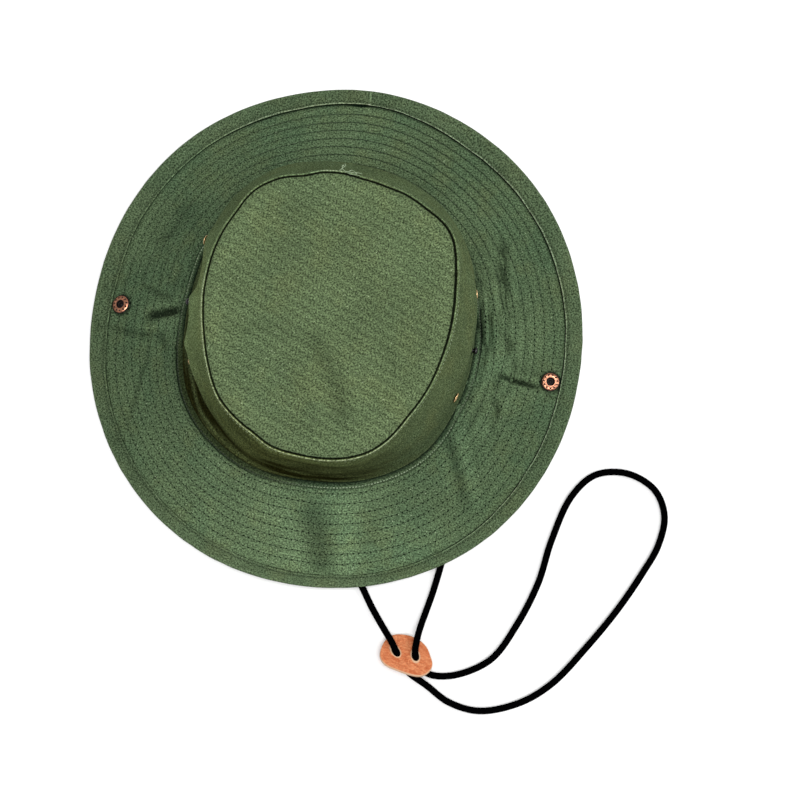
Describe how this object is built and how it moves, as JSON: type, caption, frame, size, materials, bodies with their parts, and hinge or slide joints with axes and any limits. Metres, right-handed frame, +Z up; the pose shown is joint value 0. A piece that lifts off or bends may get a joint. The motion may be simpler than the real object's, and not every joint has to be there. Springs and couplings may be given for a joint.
{
  "type": "bush hat",
  "caption": "Soft cotton bush hat with a quilted bound brim, snap fittings and a looped chin cord that runs through a leather slider.",
  "frame": {"origin": "on the surface that the brim rests on, under the middle of the hat's box without its cord", "axes": "+Z up out of the crown; the front of the hat faces -Y, and +X is to the right as seen from above with the front at the bottom"},
  "size_m": [0.3659, 0.3678, 0.0977],
  "materials": {
    "crown_cloth": "matte olive green cotton twill",
    "brim_cloth": "matte olive green cotton twill, quilted",
    "tape_cloth": "matte olive green cotton twill, folded tape",
    "copper": "antique copper with dark rims",
    "black_metal": "gloss black",
    "cord": "black braided cord",
    "leather": "undyed orange tan, cut edge"
  },
  "bodies": {
    "root": {"crown_top": "crown_cloth", "crown_side": "crown_cloth", "brim": "brim_cloth", "brim_binding": "tape_cloth", "snap_left": "copper", "snap_right": "copper", "stud_left": "black_metal", "stud_right": "black_metal", "eyelet_left_front": "copper", "eyelet_left_back": "copper", "eyelet_right_front": "copper", "eyelet_right_back": "copper", "chin_cord": "cord", "cord_slider": "leather"}
  },
  "joints": []
}
